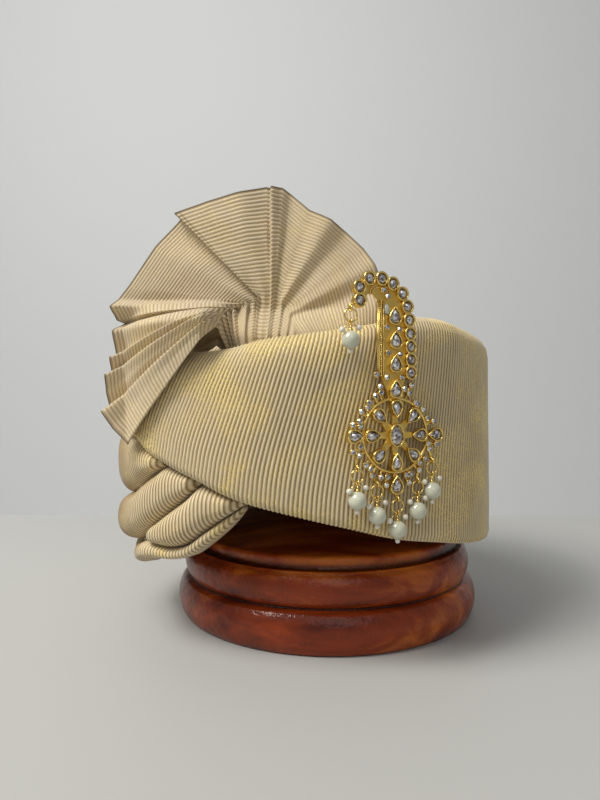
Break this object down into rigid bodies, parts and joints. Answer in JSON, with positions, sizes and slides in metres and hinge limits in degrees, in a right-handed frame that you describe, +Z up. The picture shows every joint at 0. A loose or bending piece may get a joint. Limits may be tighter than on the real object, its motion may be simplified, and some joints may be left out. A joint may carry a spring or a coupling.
{
  "type": "tied turban pagri on a turned wooden stand",
  "caption": "Ready-tied turban of corded gold cloth with wrapped band, side rolls, pleated fan and jewelled plume brooch, on a turned wooden stand.",
  "frame": {"origin": "centre of the stand's flat foot, on the surface that it stands on", "axes": "+Z up along the stand's turned axis; the display front, between forehead and brooch, faces -Y; the wearer's forehead is 18 degrees from -Y towards -X"},
  "size_m": [0.2272, 0.2443, 0.2321],
  "materials": {
    "varnished_wood": "turned hardwood with a glossy red-brown varnish",
    "cap_cloth": "plain matt lining cloth over a stiff skullcap",
    "corded_cloth": "corded cotton with a fine gold metallic thread",
    "gold": "polished yellow gold plate",
    "cut_stone": "foil-backed clear cut glass",
    "pearl": "pearl lustre with a faint green tint"
  },
  "bodies": {
    "root": {"stand": "varnished_wood", "crown_cap": "cap_cloth", "front_band": "corded_cloth", "side_roll_upper": "corded_cloth", "side_roll_middle": "corded_cloth", "side_roll_lower": "corded_cloth", "rim_roll": "corded_cloth", "turra_fan": "corded_cloth", "kalgi_frame": "gold", "brooch_pin": "gold", "rim_stone_01": "cut_stone", "rim_stone_02": "cut_stone", "rim_stone_03": "cut_stone", "rim_stone_04": "cut_stone", "rim_stone_05": "cut_stone", "rim_stone_06": "cut_stone", "rim_stone_07": "cut_stone", "rim_stone_08": "cut_stone", "rim_stone_09": "cut_stone", "rim_stone_10": "cut_stone", "rim_stone_11": "cut_stone", "rim_stone_12": "cut_stone", "stem_drop_1": "cut_stone", "stem_drop_2": "cut_stone", "stem_drop_3": "cut_stone", "stem_drop_4": "cut_stone", "petal_stone_1": "cut_stone", "petal_stone_2": "cut_stone", "petal_stone_3": "cut_stone", "petal_stone_4": "cut_stone", "petal_stone_5": "cut_stone", "petal_stone_6": "cut_stone", "petal_stone_7": "cut_stone", "petal_stone_8": "cut_stone", "centre_stone": "cut_stone", "side_stone_left": "cut_stone", "side_stone_right": "cut_stone", "foot_stone": "cut_stone", "jump_ring_1": "gold", "pearl_drop_1": "pearl", "jump_ring_2": "gold", "pearl_drop_2": "pearl", "jump_ring_3": "gold", "pearl_drop_3": "pearl", "jump_ring_4": "gold", "pearl_drop_4": "pearl", "jump_ring_5": "gold", "pearl_drop_5": "pearl", "jump_ring_6": "gold", "pearl_drop_6": "pearl"}
  },
  "joints": []
}
